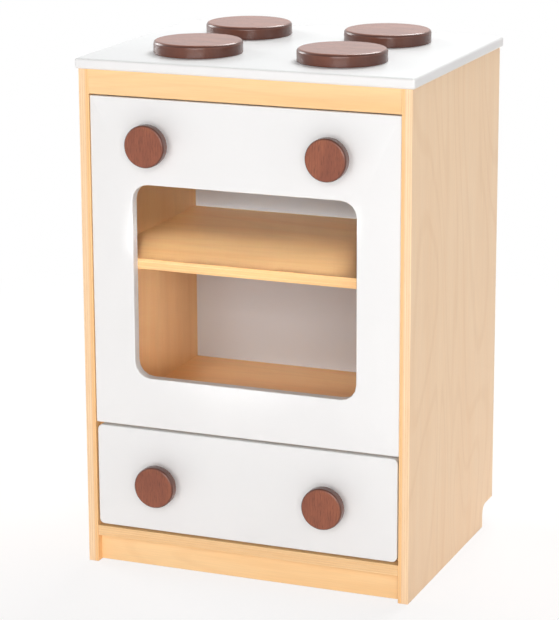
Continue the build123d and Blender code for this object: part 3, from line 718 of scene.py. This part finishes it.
# %% Stained hardwood material
stain_light = "#98593F"
stain_mid = "#844A36"
stain_deep = "#4A2A22"
year_mm = 3.4
pith_mm = 38.0                # from the disc to the middle of the trunk
pore_length, pore_width = 9.0, 0.45
ring_drift = 9.0              # mm that a year's ring may wander
# The first of these darkens the round-over, a painted dark reflection; the second darkens the whole rim; the
# third adds stain on end grain.
round_painted_reflection, rim_darkening, end_stain = 3.6, 0.6, 0.3     # where it rounds over, on the rim, on end grain


def year_rings(tree, wood_y, wood_z, drift):
    """Rises from 0 to 1 over each year's growth, on circles round the pith that drift a little."""
    from_pith = calculate(tree, "ADD", wood_z, pith_mm)
    place = add_node(tree, "CombineXYZ", {"Y": wood_y, "Z": from_pith})
    radius = add_node(tree, "VectorMath", {0: place}, operation="LENGTH")
    wander = calculate(tree, "MULTIPLY_ADD", drift, ring_drift, radius)
    return calculate(tree, "FRACT", calculate(tree, "MULTIPLY", wander, 1 / year_mm))


stained_wood, tree = new_material("stained_turned_hardwood")
wood_x, wood_y, wood_z = read_attribute(tree, "wood")
wood = add_node(tree, "CombineXYZ", {"X": wood_x, "Y": wood_y, "Z": wood_z})
drift = stretched_noise(tree, wood, 130.0, 22.0, Detail=2.0)
season = year_rings(tree, wood_y, wood_z, drift)
late = ramp(tree, season, start=0.35, last=0.6)
blotch = stretched_noise(tree, wood, 60.0, 18.0, Detail=2.0)
ringed = tone(tree, late, tone(tree, ramp(tree, blotch, *firm), stain_light, stain_mid), stain_mid)

pores = stretched_noise(tree, wood, pore_length, pore_width, Detail=2.0)
pore = ramp(tree, pores, 0.56, 0.7, last=0.75)
end_grain, _, facing_out = read_attribute(tree, "facing")
sideways = calculate(tree, "SUBTRACT", 1.0, facing_out)
# The round-over is painted darkest: a painted dark reflection.
rounding_painted_reflection = calculate(tree, "MULTIPLY", calculate(tree, "MULTIPLY", facing_out, sideways), round_painted_reflection)
rim = calculate(tree, "MULTIPLY", sideways, calculate(tree, "MULTIPLY_ADD", end_grain, end_stain, rim_darkening))
rim_and_painted_reflection = calculate(tree, "MAXIMUM", rim, rounding_painted_reflection)
colour = tone(tree, calculate(tree, "MAXIMUM", rim_and_painted_reflection, pore), ringed, stain_deep)
raised = add_node(tree, "Bump", {"Height": pores, "Strength": 0.25, "Distance": 0.04 * MM})
finish_surface(tree, {"Base Color": colour, "Roughness": ramp(tree, pores, first=0.4, last=0.55),
                      "IOR": 1.5, "Specular IOR Level": 0.12, "Normal": raised,
                      "Coat Weight": 0.65, "Coat Roughness": 0.2, "Coat IOR": 1.5})
print("stained wood nodes:", len(tree.nodes))

# %% Burners
burner_round, burner_ease = 4.0, 1.0
for node in sorted(n for n in frame["nodes"] if n.startswith("burner_") and n != "burner_screws"):
    low, high = box_mm(node)
    radius, height = (high[0] - low[0]) / 2, high[2] - low[2]
    profile = [(0, 0, 0), (radius, 0, burner_ease), (radius, height, burner_round), (0, height, 0)]
    centre = np.array((*(low + high)[:2] / 2, low[2]))
    lathe_work(node, "disc", stained_wood, profile, centre, Z, X, segments=128, steps=8)

# %% Knobs
knob_disc_mm, knob_lip, lip_ease, lip_round = 12.0, 1.5, 0.4, 0.3
neck_radius, base_radius = 9.0, 12.0
disc_back_round, disc_front_round = 1.8, 2.5
for node in ("control_knob_left", "control_knob_right", "drawer_knob_left", "drawer_knob_right"):
    low, high = box_mm(node)
    radius, height = (high[0] - low[0]) / 2, high[1] - low[1]
    cove = base_radius - neck_radius
    disc_back = height - knob_disc_mm
    profile = [(0, 0, 0), (base_radius, 0, lip_ease), (base_radius, knob_lip, lip_round),
               (neck_radius, knob_lip, cove - lip_ease), (neck_radius, disc_back, cove),
               (radius, disc_back, disc_back_round), (radius, height, disc_front_round), (0, height, 0)]
    centre = np.array(((low + high)[0] / 2, high[1], (low + high)[2] / 2))
    lathe_work(node, "turned", stained_wood, profile, centre, -Y, Z, segments=96, steps=6)
print("turned pieces:", count_pieces("_disc", "_turned"))

# %% [markdown]
# ## Zinc, nylon and beech
# The last pieces hold the stove together: screws, dowels, and the spindle, washers and locking nut
# behind each knob.  Zinc plating on steel is bright but not even: its crystals catch the light in
# soft patches, and the clear chromate over it leaves a breath of blue and straw.  The locking
# nut's ring is plain nylon, a little milky.  The dowels and the drawer's stop are beech, pink-brown
# with the short dark flecks of its rays.

# %% Materials of the fittings
zinc_blue = "#C3C9D1"
zinc_straw = "#CFCABF"
beech_light = "#E2BD93"
beech_deep = "#D2A578"
beech_fleck = "#A9744C"
nylon_milk = "#EFEDE4"
nylon_deep = "#E2DFD2"

zinc_plate, tree = new_material("zinc_plated_steel")
place = in_millimetres(tree)
crystals = add_node(tree, "TexVoronoi", {"Vector": place, "Scale": 2.2}).node.outputs["Color"]
spangle = add_node(tree, "SeparateColor", {0: crystals}).node.outputs["Red"]
film = stretched_noise(tree, place, 2.6, 2.6, Detail=2.0)
colour = tone(tree, ramp(tree, film, *firm), zinc_blue, zinc_straw)
grit = stretched_noise(tree, place, 0.25, 0.25, Detail=2.0)
raised = add_node(tree, "Bump", {"Height": grit, "Strength": 0.3, "Distance": 0.01 * MM})
finish_surface(tree, {"Base Color": colour, "Metallic": 1.0, "Normal": raised,
                      "Roughness": ramp(tree, spangle, first=0.24, last=0.38)})

nylon, tree = new_material("natural_nylon")
cloud = stretched_noise(tree, in_millimetres(tree), 1.5, 1.5, Detail=2.0)
finish_surface(tree, {"Base Color": tone(tree, cloud, nylon_milk, nylon_deep), "IOR": 1.53,
                      "Roughness": ramp(tree, cloud, first=0.3, last=0.42),
                      "Subsurface Weight": 0.15, "Subsurface Scale": 0.6 * MM})

beech, tree = new_material("beech_oiled")
wood = add_node(tree, "Attribute", attribute_name="board").node.outputs["Vector"]
growth = stretched_noise(tree, wood, 150.0, 3.0, Detail=2.0)
plain_beech = tone(tree, ramp(tree, growth, *firm), beech_light, beech_deep)
rays = stretched_noise(tree, wood, 2.8, 0.35, Detail=1.0)
colour = tone(tree, ramp(tree, rays, 0.62, 0.7, last=0.6), plain_beech, beech_fleck)
gloss = ramp(tree, growth, first=0.5, last=0.62)
raised = add_node(tree, "Bump", {"Height": rays, "Strength": 0.3, "Distance": 0.03 * MM})
finish_surface(tree, {"Base Color": colour, "Roughness": gloss, "IOR": 1.5, "Normal": raised})
print("fitting materials:", zinc_plate.name, nylon.name, beech.name)

# %% [markdown]
# ## Copies of one fitting
# A node such as the back's screws holds many copies of one piece.  Its mesh falls apart into as
# many solids as there are copies, and the box of each tells where its copy goes and how long it
# is.  One function then sets the same small shape at every place.

# %% Copies in their places
copy_step = 20.0              # mm of solid texture from one copy's wood to the next


def separate_solids(node):
    """Lowest and highest corner, in millimetres, of each solid of a node.

    Points that share a place are one.  Each is numbered, and takes the lowest number in any
    triangle that it belongs to, over and over, until every solid has one number.
    """
    mesh = frame["nodes"][node].data
    points = np.empty(len(mesh.vertices) * 3, np.float32)
    mesh.vertices.foreach_get("co", points)
    points = points.reshape(-1, 3) / MM
    loops = np.empty(len(mesh.loops), np.int32)
    mesh.loops.foreach_get("vertex_index", loops)
    merged = np.unique(points.round(2), axis=0, return_inverse=True)[1].ravel()
    corners = merged[loops.reshape(-1, 3)]
    number = np.arange(merged.max() + 1)
    settled = False
    while not settled:
        before = number.copy()
        np.minimum.at(number, corners, number[corners].min(axis=1, keepdims=True))
        settled = np.array_equal(before, number)
    solid = number[merged]
    return [(points[solid == n].min(axis=0), points[solid == n].max(axis=0)) for n in np.unique(solid)]


def set_copies(node, suffix, material, shape, out, across):
    """Sets a shape at every solid of a node, with its foot at the solid's inner end.

    shape(length) returns points and faces for one copy, in its own axes, which rises by length.
    """
    axes = np.array((across, np.cross(out, across), out))
    points, faces, measures = [], [], []
    for low, high in separate_solids(node):
        length = abs((high - low) @ out)
        own_points, own_faces = shape(length)
        first = sum(map(len, points))
        faces += [[first + i for i in face] for face in own_faces]
        own_wood = np.array(own_stretch(node)) + (0, copy_step * len(points), 0)
        measures.append(own_points[:, [2, 0, 1]] + own_wood)
        points.append((low + high) / 2 - out * length / 2 + own_points @ axes)
    attributes = {"board": np.concatenate(measures)}
    mesh = make_mesh(f"{node}_{suffix}", np.concatenate(points), faces, attributes)
    put_in_place(mesh, material, node)


print("screws in the back:", len(separate_solids("back_screws")))

# %% [markdown]
# ## Screws
# A pan-head wood screw is one row of rings from its point up to the floor of the recess in its
# head.  Along the shank the radius rises and falls with the height and with the angle at once,
# which winds the thread.  The cross-shaped recess needs no cutting either: seen from the axis, the
# outline of a cross has one radius for each angle, so a ring can follow it, and the rings outside
# it melt into circles.

# %% Screws
head_height, head_radius = 2.2, 3.5
cross_reach, cross_half_width, cross_depth = 1.9, 0.36, 1.3
thread_pitch, thread_depth, point_length, point_share = 1.6, 0.5, 4.0, 0.08
rim_ease, rim_share, dome_power = 0.15, 0.3, 2.6
dome_rings = np.array((1.0, 0.985, 0.94, 0.86, 0.74, 0.6))[:, None]
floor_rings = (0.55, 0.9), (0.25, 1.0)    # shares of the cross's reach and depth
rings_per_turn = 6
board_screw, knob_screw = 3.5, 4.0


def cross_outline(reach, half_width):
    """Angles round a cross, its corners included, and the radius of its outline at each.

    Folded into the eighth of a turn beside an arm, the radius is the smaller of reach / cos a and
    half_width / sin a.
    """
    bend = math.atan2(half_width, reach)
    eighth = np.array((0.0, bend, (bend + math.pi / 4) / 2))
    quarter = np.concatenate((eighth, [math.pi / 4], math.pi / 2 - eighth[:0:-1]))
    angle = (quarter + np.arange(4)[:, None] * math.pi / 2).ravel()
    fold = np.abs((angle + math.pi / 4) % (math.pi / 2) - math.pi / 4)
    return angle, np.minimum(reach / np.cos(fold), half_width / np.maximum(np.sin(fold), 1e-6))


def thread(angle, height, crest, pitch, depth):
    """Radius of a thread: crest - depth (1 - cos(2 pi height / pitch - angle)) / 2."""
    return crest - depth * (1 - np.cos(math.tau * height / pitch - angle)) / 2


def pan_screw(shank_diameter):
    """A function that gives a screw of any length: point at 0, head at the top.

    At radius r the dome is (1 - (r / rim) ** power) ** (1 / power) of its rise above the rim.
    """
    angle, cross = cross_outline(cross_reach, cross_half_width)
    dome = np.concatenate((dome_rings * head_radius + 0 * cross, cross[None]))
    rise = (1 - (dome / head_radius) ** dome_power) ** (1 / dome_power)

    def screw(length):
        neck = length - head_height
        height = np.linspace(0, neck, int(neck / thread_pitch * rings_per_turn))[:, None]
        taper = np.clip(point_share + (1 - point_share) * height / point_length, 0, 1)
        shank = taper * thread(angle, height, shank_diameter / 2, thread_pitch, thread_depth)
        dome_height = neck + head_height * (rim_share + (1 - rim_share) * rise)
        rings = [*zip(shank, height), (head_radius - rim_ease, neck), (head_radius, neck + rim_ease),
                 *zip(dome, dome_height)]
        rings += [(reach * cross, length - depth * cross_depth) for reach, depth in floor_rings]
        return from_rings(angle, rings)

    return screw


for node in ("back_screws", "oven_front_screws", "drawer_front_screws"):
    set_copies(node, "pan_head", zinc_plate, pan_screw(board_screw), Y, X)
set_copies("drawer_knob_screws", "pan_head", zinc_plate, pan_screw(knob_screw), Y, X)
for node in ("burner_screws", "drawer_stop_screw"):
    set_copies(node, "pan_head", zinc_plate, pan_screw(board_screw), -Z, X)
print("screw meshes:", count_pieces("_pan_head"))

# %% [markdown]
# ## Spindles, washers and locking nuts
# Each control knob is glued on a spindle that runs through the oven front.  A washer lies on
# either side of the board, and a locking nut holds the whole without pinching it.  The nut is a
# hexagon whose corners are turned off by a cone, which leaves the curved line across each flat.

# %% Knob fittings
spindle_radius, spindle_chamfer = 3.0, 0.6
spindle_pitch, spindle_thread, threaded_length = 1.0, 0.6, 14.0
fitting_bore, washer_radius, washer_ease = 3.05, 10.0, 0.25
half_flats, nut_height, cone_slope = 5.0, 5.0, 0.58
nut_face, collar_radius, lip_radius = 4.8, 4.85, 3.9
bore_ease, collar_ease = 0.3, 0.6
nylon_bore, nylon_ease, nylon_dip = 2.95, 0.15, 0.3


def spindle(length):
    """A rod with a thread towards its tail and a chamfer at both ends."""
    angle = even_angles(32)
    height = np.linspace(0, length, int(length / spindle_pitch * rings_per_turn))[:, None]
    threaded = np.clip((height - length + threaded_length) / spindle_pitch, 0, 1)
    to_end = np.minimum(height, length - height)
    cone = spindle_radius - np.maximum(spindle_chamfer - to_end, 0)
    radius = thread(angle, height, spindle_radius, spindle_pitch, spindle_thread * threaded)
    return round_axis(angle, np.minimum(radius, cone), height)


def flat_ring(low, high, ease, segments):
    """A ring whose profile is a closed rectangle with eased corners (radius, height)."""
    outline, _ = rounded(rectangle(low, high, ease), True, 3)
    return round_axis(even_angles(segments), outline[:, :1], outline[:, 1:], closed=True)


def washer(length):
    """A flat ring with eased edges."""
    return flat_ring((fitting_bore, 0), (washer_radius, length), washer_ease, 64)


def locking_nut(length):
    """A hexagon under a round collar, bored through.

    The flats' radius is half_flats / cos(fold), where the fold is the angle from the middle of a
    flat, and each turned-off corner rises by cone_slope times its reach beyond the face.
    """
    angle = even_angles(72)
    flats = half_flats / np.cos(angle % (math.pi / 3) - math.pi / 6)
    turned_off = cone_slope * (flats - nut_face)
    rings = [(fitting_bore + bore_ease, 0), (nut_face, 0), (flats, turned_off),
             (flats, nut_height - turned_off), (collar_radius, nut_height),
             (collar_radius, length - collar_ease),
             (collar_radius - collar_ease / 3, length - collar_ease / 3),
             (collar_radius - collar_ease, length), (lip_radius, length), (lip_radius, nut_height),
             (fitting_bore, nut_height), (fitting_bore, bore_ease)]
    return from_rings(angle, rings, closed=True)


def nylon_ring(length):
    """The ring that grips the thread, inside the collar: it fills the collar but for a small dip."""
    return flat_ring((nylon_bore, nut_height), (lip_radius, length - nylon_dip), nylon_ease, 48)


fittings = (("spindle", "rod", zinc_plate, spindle), ("washers", "rings", zinc_plate, washer),
            ("nut", "hexagon", zinc_plate, locking_nut), ("nut", "nylon", nylon, nylon_ring))
for hand in ("left", "right"):
    for fitting, suffix, material, shape in fittings:
        set_copies(f"knob_{fitting}_{hand}", suffix, material, shape, Y, X)
print("knob fittings:", count_pieces("_rod", "_rings", "_hexagon", "_nylon"))

# %% [markdown]
# ## Dowels and the drawer's stop
# Dowels hold the rails to the sides and the cooktop to their upper ends.  Each has flutes, which
# let air and spare glue out of a blind hole, and a chamfer that finds the hole.  The stop is a
# small beech block under the oven floor, which keeps the drawer from being pulled right out.

# %% Dowels and stop
flutes, flute_depth, dowel_chamfer = 12, 0.3, 0.8
cabinet_dowel, drawer_dowel = 6.0, 5.0
stop_corner = 3.0


def fluted_dowel(diameter):
    """A function that gives a dowel of any length: three angles to a flute, one of them sunk."""
    angle = even_angles(3 * flutes)
    fluted = diameter / 2 - flute_depth * (np.arange(3 * flutes) % 3 == 0)

    def dowel(length):
        height = np.array((0, dowel_chamfer, length - dowel_chamfer, length))[:, None]
        pulled_in = np.array((dowel_chamfer, 0, 0, dowel_chamfer))[:, None]
        return round_axis(angle, np.minimum(fluted, diameter / 2 - pulled_in), height)

    return dowel


set_copies("rail_dowels", "fluted", beech, fluted_dowel(cabinet_dowel), X, Y)
set_copies("top_dowels", "fluted", beech, fluted_dowel(cabinet_dowel), Z, X)
set_copies("drawer_dowels", "fluted", beech, fluted_dowel(drawer_dowel), X, Y)
board("drawer_stop", beech, X, Y, Z, ease=arris, radius=stop_corner, plies=None)
shown = [o.name for o in bpy.data.objects if o.type == "MESH" and not o.hide_render]
print("visible pieces:", len(shown))
print("nodes still plain:", sorted(set(shown) & set(frame["nodes"])))
